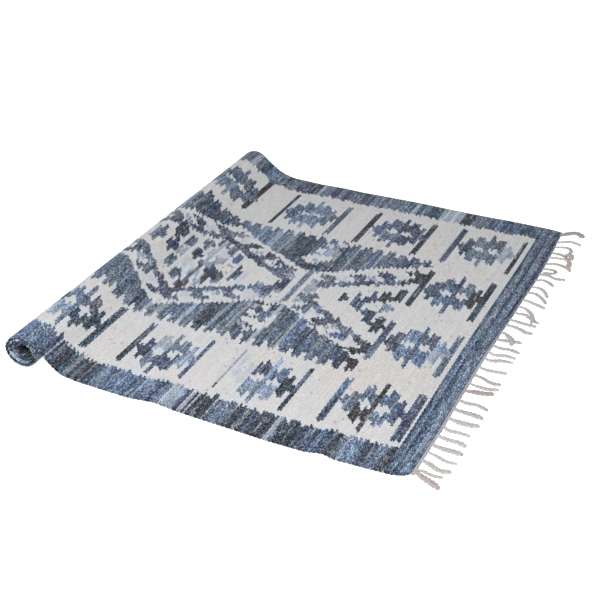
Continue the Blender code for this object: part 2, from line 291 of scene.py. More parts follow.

# Stepped diamonds in the pale figure: middle along and across, half sizes, rag
Diamond = namedtuple("Diamond", "along across half_along half_across rag")
DIAMOND_FULL = 1.35
DIAMONDS = table(Diamond, """
    682 690 26 36 navy, 706 770 22 26 slate, 712 640 20 26 mid, 592 706 22 34 lilac, 574 748 18 22 plum,
    566 668 18 22 slate, 480 700 16 30 charcoal, 438 705 12 45 blue, 418 690 16 50 teal, 398 742 14 40 navy,
    362 757 22 34 umber, 326 785 18 46 charcoal, 338 700 22 30 light, 390 655 12 26 mid,
    366 635 20 38 charcoal, 326 602 22 52 charcoal, 822 690 18 46 frost, 846 692 14 56 teal,
    884 702 18 20 rose, 894 655 20 36 umber, 918 632 16 40 charcoal, 780 715 30 44 cream,
    742 592 28 26 frost, 745 664 16 16 light, 752 806 16 18 navy, 804 845 16 22 charcoal,
    948 705 14 24 light, 940 780 26 30 frost, 1110 775 24 50 charcoal, 1092 700 20 36 navy,
    1150 700 20 50 slate
""")
# The heart of the figure: a lattice of stepped diamonds inside a lozenge
HEART = Diamond(0.972, 0.706, 0.165, 0.180, "cream")
HEART_STEP = (0.044, 0.070)
HEART_DIAMOND = (0.020, 0.034)
HEART_RAGS = "slate lilac mid pale charcoal lilac slate umber pale slate lilac plum mid frost teal slate"
SPINE = Bar(0.972, 0.560, 0.865, 0.9, 0.5, "slate", "lilac")

# The bands along the figure's sides. Each arm runs from a waist to an end of the figure: a
# stepped line, this far inside the figure's side, with a row of hooks on its outer side, each a
# stepped bar that a short stem joins to the line.
Arm = namedtuple("Arm", "waist end side inside rags line")
ARMS = table(Arm, """
    612 292 far 84 slate-plum-navy-umber slate-mid-navy-slate-umber,
    612 292 near 66 slate-plum-blue-umber slate-mid-plum-slate-charcoal,
    668 1000 far 74 slate-plum-charcoal-slate-charcoal slate-mid-charcoal-plum-charcoal,
    668 1000 near 76 light-slate-plum-plum-teal slate-mid-plum-mid-charcoal,
    1290 985 far 72 slate-slate-plum-plum slate-plum-plum-slate,
    1290 985 near 74 teal-teal-slate-plum teal-slate-mid-plum
""")
LINE_WIDE = 0.030
LINE_BEYOND = 0.004
HOOK_STEP = 0.078
# Where in its step each hook, its stem and its pale tip lie
HOOK_AT, STEM_AT, TIP_AT = 0.5, 0.72, 0.12
HOOK_OUT = 0.037
HOOK_HALF = (0.032, 0.016)
STEM_OUT = 0.016
STEM_HALF = (0.015, 0.028)
HOOK_TIP_HALF = (0.020, 0.015)
WAIST_GAP = 3.2
WAIST_BAR = Bar(0.638, 0.604, 0.804, 1.5, 0.45, "slate", "slate")

# The small pale figures in the blue panel's two triangles: middle, half sizes and rag, laid on
# one another in this order
PANEL_FIGURES = table(Diamond, """
    676 578 20 22 cream, 644 592 18 18 frost, 702 538 18 18 lilac, 662 540 16 24 cream, 622 532 14 18 lilac,
    690 498 24 16 cream, 655 500 18 24 slate, 620 488 14 32 cream, 664 462 44 16 cream, 692 440 16 14 lilac,
    640 444 18 18 cream, 664 424 14 14 frost, 644 915 30 52 light, 668 878 34 34 cream, 640 890 20 26 cream,
    654 872 12 16 lilac, 664 935 18 22 cream, 620 930 24 40 lilac, 622 905 12 20 cream,
    620 838 32 24 charcoal, 664 826 30 18 umber, 650 980 14 18 frost, 612 998 18 16 frost
""")

# The heading and the fringe. The heading lies PARTING from the cloth's end.
PARTING = 0.0003
HEADING_WIDTH = 0.0075
HEADING_HEIGHT = 0.0042
HEADING_STEP = 0.004
# The heading's side view: a low loaf, out from the cloth and up
HEADING_SHAPE = (
    (0.0, 0.0), (1.0, 0.0), (1.0, 0.45), (0.90, 0.80), (0.70, 0.97), (0.45, 1.0), (0.18, 0.97), (0.0, 0.82)
)
# How uneven it is: each wave's height, as a share, and how fast it comes and goes across the cloth
HEADING_WAVES = ((0.06, 0.0042), (0.05, 0.031))
# How far the heading turns darker and bluer, across the cloth from the near selvedge
HEADING_BLUE_ACROSS = (0.00, 0.10, 0.20, 0.30, 0.42, 0.55, 0.63, 0.70, 0.78, 0.90, 1.05, 1.20, 1.40)
HEADING_BLUE_SHARE = (0.10, 0.15, 0.30, 0.25, 0.30, 0.15, 0.40, 0.65, 0.90, 0.80, 1.00, 0.85, 1.00)
STRAND_HEIGHT = 0.0060
STRAND_FULLER = 1.58
STRAND_SIDES = 12
STRAND_STEP = 0.0026
STRAND_TWIST = 0.024
STRAND_LOBE = 0.17
STRAND_SHARES = (0, 0.12, 0.35, 0.85, 0.96, 1.0)
STRAND_SIZES = (0.62, 0.70, 1.0, 1.0, 0.80, 0.35)
STRAND_TINT = 0.07
# A strand's width swells by a share as it goes. It is never taller than STRAND_TALLEST of half its
# width, its thin ends keep most of its height, and its plies settle a little into one another.
STRAND_SWELL = 0.07
STRAND_SWELL_REACH = 0.011
STRAND_TALLEST = 1.1
STRAND_TALL_ENDS = 0.75
STRAND_SETTLED = 0.92
STRAND_OFF_FLOOR = 0.0002
# A strand whose first point lies within ROOT_NEAR of the heading starts ROOT_INSIDE it instead
ROOT_NEAR = 0.006
ROOT_INSIDE = 0.003
STRAND_SEED = 5
YARN_RELIEF = 0.0008

Strand = namedtuple("Strand", "width points")


def strand_row(line):
    """A strand from one line: its width, and each point's place, with no lift unless it has one."""
    width, places = line.split(":")
    points = [[int(part) for part in place.split()] for place in places.split(",")]
    return Strand(int(width), [point + [0] * (3 - len(point)) for point in points])


# One line a strand, from the far corner to the near one: its width, and the points it passes, in
# millimetres out from the cloth's end, across the cloth, and lifted off the floor. A strand that
# lies over another is lifted there.
STRANDS = [strand_row(line) for line in """
    14: 4 1373, 18 1384, 32 1398, 50 1408, 66 1400, 78 1387
    8: 12 1318, 30 1331, 46 1340, 66 1337, 85 1328
    8: 11 1283, 32 1292, 50 1293 1, 63 1280 4, 69 1262 6, 66 1244 6, 56 1234 6
    8: 12 1244, 28 1242, 48 1240, 65 1228
    8: 12 1206, 36 1214, 60 1217, 79 1222
    8: 12 1162, 32 1171, 53 1175, 78 1165, 97 1150
    10: 50 1231 6, 66 1230 8, 76 1239 8, 80 1216 6, 70 1204 8, 83 1190 6, 86 1160 8, 93 1142 4
    7: 12 1129, 34 1133, 52 1131, 58 1122, 50 1112, 34 1107, 20 1104
    8: 12 1089, 26 1092, 44 1093, 65 1083, 80 1085, 95 1090
    8: 12 1046, 26 1056, 41 1058, 59 1048, 74 1033
    8: 10 1004, 33 1008, 52 998, 66 979, 74 961
    8: 12 968, 28 970, 42 966, 62 950, 80 926
    9: 12 920, 26 919, 41 914, 64 906, 85 897
    8: 8 877, 29 876, 50 858 1, 65 834 5, 72 812 6, 72 794 6
    8: 9 844, 24 838, 43 840, 60 826, 75 817, 91 810
    9: 9 797, 26 795, 43 792, 66 790, 89 790
    9: 7 764, 24 764, 41 761, 56 755, 72 747, 91 750
    10: 8 723, 20 717, 34 706, 46 692 2, 52 676 4, 53 660 4
    9: 6 680, 24 681, 46 685, 76 691
    8: 2 648, 24 640, 40 640, 56 643, 85 637
    8: 2 611, 23 600, 38 604, 55 609, 84 607
    9: 3 574, 27 569, 50 580, 82 584
    8: 7 528, 26 521, 53 523, 83 527
    8: 9 487, 34 478, 50 470, 66 467, 84 471
    8: 6 444, 25 438, 53 436, 70 440, 86 447
    12: 8 405, 27 409, 61 415, 80 424
    8: 4 361, 26 354, 52 357, 70 353, 88 346
    11: 7 317, 31 314, 59 313, 87 308
    12: 7 275, 22 271, 42 268, 68 269, 90 275
    8: 8 239, 24 225, 51 227, 81 225
    10: 8 194, 37 189, 64 189, 85 181
    11: 8 155, 36 150, 65 150, 89 149
    6: 8 124, 36 115, 59 107, 87 110
    10: 8 89, 31 79, 53 69, 70 70, 85 76
    6: 8 47, 24 44 5, 38 42 4, 56 44, 74 48
    12: 6 41, 20 33, 37 25, 59 16, 79 5
""".strip().splitlines()]
PINK_STRANDS = (0, 6, 25, 35)

# The studio: its floor, just under the rug, and the large soft light
FLOOR_RADIUS = 14.0
FLOOR_DROP = 0.0002
SOFTBOX_SIZE = 2.5
SOFTBOX_PLACE = (0.18, -1.9, 2.9)
SOFTBOX_TARGET = (0.05, -0.1, 0.0)

# The viewpoint, in the layout that ORIGIN moves
VIEW_PLACE = (0.6909, -1.9367, 1.7485)
VIEW_TURN = -0.46356
VIEW_DOWN = 0.54533
VIEW_ROLL = 0.01427
VIEW_LENS = 66.914
SENSOR = 36.0


def colour_setting(label, words, colour):
    """A colour setting, its default given as sRGB hex."""
    return bpy.props.FloatVectorProperty(
        name=label, description=words, subtype="COLOR", size=3, min=0.0, max=1.0, default=linear(colour)
    )


def amount_setting(label, words, default, **more):
    """A number setting that is never below zero."""
    return bpy.props.FloatProperty(name=label, description=words, default=default, min=0.0, **more)


def length_setting(label, words, default):
    """A setting for a length."""
    return amount_setting(label, words, default, unit="LENGTH")


class RagRugCloth(bpy.types.PropertyGroup):
    """Sizes of the woven cloth."""

    thickness: length_setting("Thickness", "Thickness of the woven cloth", CLOTH)
    selvedge: amount_setting(
        "Selvedge", "Share of the thickness left at the selvedges", SELVEDGE_THIN, max=1.0, subtype="FACTOR"
    )
    relief: length_setting("Relief", "Height of the weave's beads", BEAD_RELIEF)
    seed: bpy.props.IntProperty(name="Seed", description="Draws the uneven rags anew", default=WEAVE_SEED)


class RagRugRags(bpy.types.PropertyGroup):
    """Colours of the rags."""

    __annotations__ = {
        name: colour_setting(rag.label, f"Colour of the {rag.label.lower()} rags", rag.colour)
        for name, rag in RAGS.items()
    }


class RagRugFringe(bpy.types.PropertyGroup):
    """Sizes and colours of the heading and the fringe."""

    heading_height: length_setting("Heading height", "Height of the cotton heading", HEADING_HEIGHT)
    strand_height: length_setting("Strand height", "How high a strand stands on the floor", STRAND_HEIGHT)
    heading_colour: colour_setting("Heading", "Colour of the cotton heading", "#b9babf")
    # The darker blue that the heading turns towards across the cloth
    heading_blue_colour: colour_setting("Blue heading", "Colour of the heading towards the far selvedge", "#5c6880")
    strand_colour: colour_setting("Strands", "Colour of the cotton strands", "#bfbcb9")
    pink_colour: colour_setting("Pink strands", "Colour of the pinkish strands", "#b7adaa")


class RagRugStage(bpy.types.PropertyGroup):
    """The studio floor and light."""

    floor: colour_setting("Floor", "Colour of the floor", "#d6d6d6")
    glow: amount_setting("Floor glow", "How much light the floor gives off", 0.85)
    daylight: amount_setting("Daylight", "Strength of the light from all round", 0.36)
    softbox: amount_setting("Softbox", "Power of the large light overhead, in watts", 100.0)


class Fabric:
    """A matt fabric material, to which nodes are added one by one."""

    def __init__(self, name, roughness, sheen):
        self.material = bpy.data.materials.new(name)
        self.material.use_nodes = True
        self.tree = self.material.node_tree
        self.shader = self.tree.nodes["Principled BSDF"]
        self.shader.inputs["Roughness"].default_value = roughness
        self.shader.inputs["Specular IOR Level"].default_value = 0.15
        self.shader.inputs["Sheen Weight"].default_value = sheen
        self.shader.inputs["Sheen Roughness"].default_value = 0.5

    def add(self, kind, inputs=(), **settings):
        """Add a node and give its outputs. An input is a value, or the socket that feeds it."""
        node = self.tree.nodes.new("ShaderNode" + kind)
        for name, setting in settings.items():
            setattr(node, name, setting)
        for socket, given in dict(inputs).items():
            if isinstance(given, bpy.types.NodeSocket):
                self.tree.links.new(given, node.inputs[socket])
            else:
                node.inputs[socket].default_value = given
        return node.outputs

    def maths(self, operation, *inputs):
        """One step of arithmetic on numbers and sockets."""
        return self.add("Math", enumerate(inputs), operation=operation)[0]

    def scaled(self, colour, amount):
        """A colour times an amount."""
        return self.add("VectorMath", {0: colour, "Scale": amount}, operation="SCALE")[0]

    def spread(self, source, low, high, least, most):
        """Take a value from the range low to high to the range least to most."""
        ends = {"From Min": low, "From Max": high, "To Min": least, "To Max": most}
        return self.add("MapRange", {"Value": source, **ends})[0]

    def fibres(self, uv, scale):
        """Fine uneven lines on a map, stretched by scale."""
        place = self.add("Mapping", {0: uv, "Scale": scale})[0]
        return self.add("TexNoise", {"Vector": place, "Scale": 1.0, "Detail": 4.0, "Roughness": 0.6})[0]

    def finish(self, colour, height, strength, relief):
        """Join the colour and a fine relief to the surface."""
        self.tree.links.new(colour, self.shader.inputs["Base Color"])
        bump = self.add("Bump", {"Strength": strength, "Distance": relief, "Height": height})[0]
        self.tree.links.new(bump, self.shader.inputs["Normal"])
        return self.material


def rag_weave_material(relief):
    """Weft-faced rag weave of denim and cotton: matt, each shot a row of soft beads over every
    other warp, flecked along the rag as cut denim is, with painted shade in the creases between shots."""
    fabric = Fabric("denim_and_cotton_rag_weave", 0.92, 0.12)
    add, maths, spread = fabric.add, fabric.maths, fabric.spread

    # The weave's own map counts warps across and shots along, so one unit is 4.2 mm or 3.4 mm
    uv = add("UVMap", uv_map="weave")[0]
    across, along, _ = add("SeparateXYZ", {0: uv})
    warp, shot = maths("FLOOR", across), maths("FLOOR", along)
    shot_round = maths("ABSOLUTE", maths("SINE", maths("MULTIPLY", along, math.pi)))
    over_under = maths("COSINE", maths("MULTIPLY", maths("ADD", across, shot), math.pi))
    bead = maths("MULTIPLY", shot_round, maths("MULTIPLY_ADD", over_under, 0.28, 0.72))

    # Where two rags meet, one goes half a step further on every other shot
    further = maths("MULTIPLY", maths("LESS_THAN", maths("MODULO", across, 2.0), 1.0),
                    maths("GREATER_THAN", maths("MODULO", along, 2.0), 1.0))
    rag = add("Attribute", attribute_name="rag_colour")[0]
    next_rag = add("Attribute", attribute_name="next_rag_colour")[0]
    woven = add("Mix", {0: further, 6: rag, 7: next_rag}, data_type="RGBA")[2]

    # Flecks from bead to bead, streaks two beads long, each shot's slow change along the weft,
    # and fibres 1 mm wide
    beads = add("CombineXYZ", {"X": warp, "Y": shot})[0]
    flecks = add("TexWhiteNoise", {"Vector": beads}, noise_dimensions="2D")[0]
    pairs = maths("FLOOR", maths("MULTIPLY_ADD", shot, 0.37, maths("MULTIPLY", across, 0.42)))
    dashes = add("CombineXYZ", {"X": pairs, "Y": shot})[0]
    streaks = add("TexWhiteNoise", {"Vector": dashes}, noise_dimensions="2D")[0]
    rows = add("CombineXYZ", {"X": maths("MULTIPLY", across, 0.07), "Y": maths("MULTIPLY", shot, 3.7)})[0]
    slow = add("TexNoise", {"Vector": rows, "Scale": 1.0, "Detail": 1.0})[0]
    fibres = fabric.fibres(uv, (1.6, 3.2, 1.0))
    # A rag goes there and back before the next one, and between rags the crease is deeper.
    # Painted shade: the crease and the bead's height darken the colour in the hollows between the shots and
    # lighten the bead tops.
    crease_shade = maths("ABSOLUTE", maths("SINE", maths("MULTIPLY", along, math.pi / 2)))
    tone = spread(flecks, 0.0, 1.0, 0.26, 1.74)
    for part in (
        spread(slow, 0.25, 0.75, 0.74, 1.26), spread(streaks, 0.0, 1.0, 0.58, 1.42),
        spread(fibres, 0.25, 0.75, 0.36, 1.64), spread(bead, 0.05, 0.95, 0.50, 1.42),
        spread(crease_shade, 0.05, 0.75, 0.52, 1.18),
    ):
        tone = maths("MULTIPLY", tone, part)
    # Cream cotton is smoother than denim, so all this is weaker where the rag is light
    weaker = spread(add("SeparateColor", {0: woven})[0], 0.16, 0.48, 1.0, 0.13)
    evened = add("Mix", {0: weaker, 2: 1.0, 3: tone}, data_type="FLOAT")[0]
    # The lightest beads show the denim's undyed white weft, partly painted highlight where the bead tops are
    # lightened, the others only their own dye
    worn_and_highlight = maths("MAXIMUM", maths("SUBTRACT", evened, 1.0), 0.0)
    tinted = maths("SUBTRACT", evened, maths("MULTIPLY", worn_and_highlight, 0.50))
    toned, white = fabric.scaled(woven, tinted), fabric.scaled(WEFT_AND_HIGHLIGHT_WHITE, worn_and_highlight)
    mixed = add("VectorMath", {0: toned, 1: white}, operation="ADD")[0]
    return fabric.finish(mixed, maths("MULTIPLY_ADD", fibres, 0.45, bead), 0.75, relief)


def cotton_yarn_material(name, scale):
    """Undyed twisted cotton: matt grey-beige, with fine darker fibre lines along the ply."""
    fabric = Fabric(name, 0.95, 0.15)
    fibres = fabric.fibres(fabric.add("UVMap", uv_map="ply")[0], scale)
    tone = fabric.spread(fibres, 0.25, 0.75, 0.52, 1.34)
    yarn = fabric.add("Attribute", attribute_name="yarn_colour")[0]
    return fabric.finish(fabric.scaled(yarn, tone), fibres, 0.6, YARN_RELIEF)


def add_piece(name, mesh, material):
    """Link a finished mesh as a piece of the scene, in one material."""
    mesh.materials.append(material)
    piece = bpy.data.objects.new(name, mesh)
    bpy.context.scene.collection.objects.link(piece)
    return piece


def rise_at(across):
    """The cloth's rise at a place across the width, between the near and the far one."""
    share = (across / WIDTH) ** RISE_BLEND
    return Rise(*(near + (far - near) * share for near, far in zip(NEAR_RISE, FAR_RISE)))


def on_roll(rise, turned):
    """Points on the wound cloth's middle, turned radians past the place where the slope meets it."""
    turned = np.asarray(turned, float)
    angle = math.radians(rise.leave) + turned
    turns = turned / (2 * math.pi)
    half_width = rise.half_width - rise.side_step * turns
    half_height = rise.half_height - rise.top_step * turns
    middle_z = rise.half_height + CLOTH / 2 - ROLL_SETTLED
    x = -rise.roll + half_width * np.cos(angle)
    z = middle_z + half_height * np.sin(angle)
    return np.stack((x, np.maximum(z, CLOTH / 2)), axis=-1)


def slope_points(rise):
    """The slope's middle line, a Bezier curve from the floor into the roll."""
    start = np.array((-rise.foot, CLOTH / 2))
    end = on_roll(rise, 0.0)
    ahead = on_roll(rise, math.radians(PATH_STEP_DEG)) - end
    ahead /= np.linalg.norm(ahead)
    first = start + np.array((-rise.foot_pull, 0.0))
    second = end - ahead * rise.roll_pull
    t = (np.arange(1, SLOPE_STEPS + 1) / SLOPE_STEPS)[:, None]
    rest = 1 - t
    return rest**3 * start + 3 * rest**2 * t * first + 3 * rest * t**2 * second + t**3 * end


def cloth_path(across):
    """The middle line of the cloth's side view: its points, and the cloth's length up to each."""
    rise = rise_at(across)
    flat = np.append(np.arange(0.0, rise.foot, PATH_FLAT_STEP), rise.foot)
    floor = np.stack((-flat, np.full(len(flat), CLOTH / 2)), axis=1)
    turned = np.radians(np.arange(PATH_STEP_DEG, 360 * MOST_TURNS, PATH_STEP_DEG))
    points = np.concatenate((floor, slope_points(rise), on_roll(rise, turned)))
    lengths = np.concatenate(([0.0], np.cumsum(np.linalg.norm(np.diff(points, axis=0), axis=1))))
    return points, lengths


def end_line(across):
    """How far the fringed end stands out at a place across the cloth."""
    return np.interp(across, END_ACROSS, END_OUT)


def woven_places(along, share):
    """Places on the cloth's middle surface, given the length from the fringed end and the share
    of the width, as an array of x, y, z."""
    near = np.interp(along, EDGE_ALONG, EDGE_NEAR)
    far = WIDTH - np.interp(along, EDGE_ALONG, EDGE_FAR)
    across = near + (far - near) * share
    out = end_line(across) * np.clip(1.0 - along / END_LINE_FADE, 0.0, 1.0)
    x, z = np.empty_like(along), np.empty_like(along)
    for column in np.unique(share):
        here = share == column
        path, lengths = cloth_path(column * WIDTH)
        x[here] = np.interp(along[here], lengths, path[:, 0])
        z[here] = np.interp(along[here], lengths, path[:, 1])
    return np.stack((x + out, across, z), axis=1)


def rags_of(runs, along):
    """The rag that a table of runs gives at each place along the cloth."""
    starts = [run.start for run in runs]
    numbers = np.array([RAG_NAMES.index(run.rag) for run in runs])
    return numbers[np.clip(np.searchsorted(starts, along, "right") - 1, 0, len(runs) - 1)]


def rag_list(words):
    """Rag numbers of names that dashes join."""
    return [RAG_NAMES.index(word) for word in words.split("-")]


class Weave:
    """The chart of the rug: which rag shows at each shot along and each warp across."""

    def __init__(self, seed):
        self.random = np.random.default_rng(seed)
        shots, warps = np.arange(SHOTS), np.arange(WARPS)
        self.shot_along = np.repeat((shots[:, None] + 0.5) * SHOT, WARPS, axis=1)
        # Two shots, there and back, carry one step of the pattern
        self.pair = np.repeat(shots[:, None] // 2, WARPS, axis=1)
        self.along = (self.pair + 0.5) * 2 * SHOT
        across = np.repeat((warps[None, :] + 0.5) * WARP, SHOTS, axis=0)
        # Where two rags meet along a warp, they turn back on alternate warps, not quite evenly
        turn = np.where(shots % 2 == 0, TURN, -TURN)[:, None]
        blocks = self.random.normal(0.0, TURN_UNEVEN, (SHOTS // 2, WARPS // TURN_BLOCK + 1))
        blocks = np.repeat(np.repeat(blocks, 2, axis=0), TURN_BLOCK, axis=1)[:, :WARPS]
        self.across = across + WARP * (turn + blocks)
        self.rag = np.zeros((SHOTS, WARPS), int)

    def lay(self, where, rag):
        """Weave a rag, or an array of them, into the places where the pattern has it."""
        self.rag = np.where(where, rag, self.rag)

    def diamond(self, figure):
        """A stepped diamond."""
        out = np.abs(self.along - figure.along) / figure.half_along
        up = np.abs(self.across - figure.across) / figure.half_across
        self.lay(out**DIAMOND_FULL + up**DIAMOND_FULL < 1.0, RAG_NAMES.index(figure.rag))

    def bar(self, bar):
        """A bar across the cloth, with another rag in its upper part."""
        here = np.abs(self.shot_along - bar.along) < bar.wide * SHOT
        middle = bar.near + (bar.far - bar.near) * bar.split + BAR_SWAY * np.sin(self.pair * 2.1)
        below, above = RAG_NAMES.index(bar.below), RAG_NAMES.index(bar.above)
        inside = here & (self.across > bar.near) & (self.across < bar.far)
        self.lay(inside, np.where(self.across < middle, below, above))

    def star(self, star):
        """A star medallion with its two eyes."""
        middle = round(star.along / (2 * SHOT) - 0.5)
        column = self.pair - middle
        chart = STAR_CHARTS[star.chart]
        height = np.array(chart + (0,))[np.minimum(np.abs(column), len(chart))]
        lift = self.across - star.across
        inside = np.abs(lift) < height * WARP
        # From the rolled end's side to the fringe's: the arm, the wing, the spine, the wing, the arm
        part = np.digitize(column, (-3.5, -0.5, 0.5, 3.5))
        above = np.array(rag_list(star.above)[::-1])[part]
        below = np.array(rag_list(star.below)[::-1])[part]
        self.lay(inside, np.where(lift > 0, above, below))
        eye = np.array(STAR_EYE + (0,))[np.minimum(np.abs(column), len(STAR_EYE))]
        eye = np.abs(lift) < star.eye * eye * WARP
        self.lay(eye, CREAM)

    def heart(self):
        """The lattice of diamonds in the heart of the figure."""
        number, rags = 0, HEART_RAGS.split()
        for column in range(-5, 6):
            for row in range(-3, 4):
                along = HEART.along + column * HEART_STEP[0]
                across = HEART.across + (row + 0.5 * (column % 2)) * HEART_STEP[1]
                reach = abs(along - HEART.along) / HEART.half_along
                if reach + abs(across - HEART.across) / HEART.half_across < 0.95:
                    self.diamond(Diamond(along, across, *HEART_DIAMOND, rags[number % len(rags)]))
                    number += 1

    def figure_depth(self, side):
        """How far inside the pale figure each place is, measured across from one long side."""
        if side == "near":
            return self.across - np.interp(self.along, FIGURE_ALONG, FIGURE_NEAR)
        return np.interp(self.along, FIGURE_ALONG, FIGURE_FAR) - self.across

    def panel(self):
        """The two toothed blue triangles that leave the pale figure between them."""
        mirrored = np.minimum(self.along, 2 * FIGURE_ALONG[2] - self.along)
        inside = mirrored > PANEL_START
        near_side = PANEL_NEAR + np.where(self.pair % 3 == 0, NEAR_NOTCH, 0.0) * WARP
        far_side = PANEL_FAR - np.where(self.pair % 3 == 1, FAR_NOTCH, 0.0) * WARP
        near = inside & (self.across > near_side) & (self.figure_depth("near") < 0)
        far = inside & (self.across < far_side) & (self.figure_depth("far") < 0)
        self.lay(near, rags_of(NEAR_PANEL, self.shot_along))
        self.lay(far, rags_of(FAR_PANEL, self.shot_along))

    def arm(self, arm):
        """One arm of a band: its row of hooks, their pale tips, and its line."""
        edge, inwards = {"near": (FIGURE_NEAR, 1.0), "far": (FIGURE_FAR, -1.0)}[arm.side]
        rags, lines = arm.rags.split("-"), rag_list(arm.line)
        count = round(abs(arm.end - arm.waist) / HOOK_STEP)
        step = (arm.end - arm.waist) / count

        def place(along, inside, half, rag):
            side = float(np.interp(along, FIGURE_ALONG, edge))
            self.diamond(Diamond(along, side + inwards * inside, *half, rag))

        for number in range(count):
            rag = rags[min(len(rags) - 1, number)]
            place(arm.waist + step * (number + HOOK_AT), arm.inside - HOOK_OUT, HOOK_HALF, rag)
            place(arm.waist + step * (number + STEM_AT), arm.inside - STEM_OUT, STEM_HALF, rag)
            tip = ("lilac", "frost")[number % 2]
            place(arm.waist + step * (number + TIP_AT), arm.inside - STEM_OUT, HOOK_TIP_HALF, tip)
        low, high = sorted((arm.waist, arm.end))
        depth = self.figure_depth(arm.side)
        line = (self.along > low) & (self.along < high + LINE_BEYOND)
        line &= (depth > arm.inside) & (depth < arm.inside + LINE_WIDE)
        share = np.clip((self.along - arm.waist) / (arm.end - arm.waist), 0, 0.999)
        self.lay(line, np.array(lines)[(share * len(lines)).astype(int)])

    def borders(self):
        """The blue borders along both selvedges and across both ends."""
        near = self.across < NEAR_BORDER_WIDTH
        far = self.across > WIDTH - FAR_BORDER_WIDTH
        self.lay(near, rags_of(NEAR_BORDER, self.shot_along))
        self.lay(far, rags_of(FAR_BORDER, self.shot_along))
        edge = (np.arange(WARPS) == 0) & (self.shot_along > ROLL_EDGE[0].start)
        self.lay(edge, rags_of(ROLL_EDGE, self.shot_along))
        shot = np.arange(SHOTS)[:, None]
        for ends, rags in ((shot, END_BORDER), (SHOTS - 1 - shot, END_BORDER_ROLLED)):
            stripes, beyond = np.array(rag_list(rags)), np.array(rag_list(END_BORDER_FAR))
            inside = np.repeat(ends < len(stripes), WARPS, axis=1)
            number = np.minimum(ends, len(stripes) - 1)
            turn = END_BORDER_TURN + END_BORDER_SWAY * np.sin(number * 2.4)
            self.lay(inside, np.where(self.across < turn, stripes[number], beyond[number]))

    def chart(self):
        """Weave the whole rug."""
        self.panel()
        for figure in PANEL_FIGURES:
            self.diamond(figure)
        for arm in ARMS:
            self.arm(arm)
        self.heart()
        for figure in DIAMONDS:
            self.diamond(figure)
        self.bar(SPINE)
        waist = (np.abs(self.along - WAIST_BAR.along) < WAIST_GAP * SHOT) & (self.across > WAIST_BAR.near)
        self.lay(waist & (self.across < WAIST_BAR.far), CREAM)
        self.bar(WAIST_BAR)
        for bar in BARS:
            self.bar(bar)
        for star in STARS:
            self.star(star)
        self.borders()
        return self.rag

    def colours(self, rags):
        """The colour of each place: its rag's, uneven from shot to shot and along each shot."""
        dyes = np.array([tuple(getattr(rags, name)) for name in RAG_NAMES])
        uneven = np.array([RAGS[name].uneven for name in RAG_NAMES])[self.rag]
        shot = self.random.normal(0, 1, (SHOTS, 1))
        cell = self.random.normal(0, 1, (SHOTS, WARPS))
        long, short, faded = self.drift(LONG_STRETCH), self.drift(SHORT_STRETCH), self.drift(FADED_STRETCH)
        tone = uneven * (TONE_SHOT * shot + TONE_LONG * long + TONE_SHORT * short + TONE_CELL * cell)
        plain = self.rag == CREAM
        rag = np.where(plain & (faded > ROSE_FROM), RAG_NAMES.index("rose"), self.rag)
        colour = dyes[rag] * np.exp(tone)[:, :, None]
        # Faded stretches of a rag show the pale inside of the denim
        pale = np.clip(faded * FADE_STRETCH + cell * FADE_CELL - FADE_FROM, 0.0, FADE_MOST)
        pale = (pale * (uneven > DENIM_FROM))[:, :, None]
        colour = colour * (1 - pale) + dyes[RAG_NAMES.index("pale")] * pale

        def leaning(amount, lean):
            return amount[:, :, None] * np.array(lean)

        # Denim leans a little to blue, to grey or to green from one rag to the next
        sway = self.drift(BLUE_STRETCH)
        blue = BLUE_SHOT * shot + BLUE_LONG * long + BLUE_SWAY * sway + BLUE_LOW * np.minimum(sway, 0.0)
        blue = uneven * blue
        green = uneven * GREEN_SWAY * self.drift(GREEN_STRETCH)
        lean = leaning(blue, BLUE_LEAN) + leaning(green, GREEN_LEAN)
        # Blue dye rubs off on the cream beside the denim
        lean = lean + leaning(plain * self.beside(~plain), RUBBED_LEAN)
        # The cream is pinkish in some places and greenish in others,
        blush = BLUSH * plain * np.sin(self.along * BLUSH_ALONG + 1.0)
        blush = blush * np.sin(self.across * BLUSH_ACROSS + 2.0)
        lean = lean + leaning(blush, BLUSH_LEAN)
        # and yellower towards the near end of the fringe
        out = (self.along - WARM_MIDDLE[0]) / WARM_REACH[0]
        up = (self.across - WARM_MIDDLE[1]) / WARM_REACH[1]
        lean = lean + leaning(plain * np.exp(-(out**2) - up**2), WARM_LEAN)
        # Here and there a dark fibre is caught in the cream
        caught = plain & (self.random.random((SHOTS, WARPS)) < CAUGHT_SHARE)
        lean = lean + leaning(caught, CAUGHT_LEAN)
        # Painted shade: the outermost warps are darkened outside the roll, where the rags turn back round
        # them, for the cloth's own shade at its edges
        shade = np.where(self.shot_along[:, :1] < ROLL_EDGE[0].start, SELVEDGE_SHADE, 0.0)
        lean[:, (0, -1)] += shade[:, :, None]
        return np.clip(colour * np.exp(lean), 0.0, 0.9)

    def further(self, colours):
        """The colour that reaches half a step into each place from the one before it across."""
        goes = self.random.random((SHOTS, WARPS, 1)) < NEXT_RAG_SHARE
        return np.where(goes, np.concatenate((colours[:, :1], colours[:, :-1]), axis=1), colours)

    def beside(self, where):
        """How much of the cloth close round each place is where the rag is."""
        kernel = np.hanning(9)[1:-1]
        share = where.astype(float)
        for axis in (0, 1):
            share = np.apply_along_axis(np.convolve, axis, share, kernel / kernel.sum(), "same")
        return share

    def drift(self, length):
        """Random values that change slowly along each shot, over a length in warps."""
        kernel = np.hanning(length + 2)[1:-1]
        kernel /= np.sqrt((kernel**2).sum())
        loose = self.random.normal(0, 1, (SHOTS, WARPS + length - 1))
        return np.array([np.convolve(row, kernel, "valid") for row in loose])


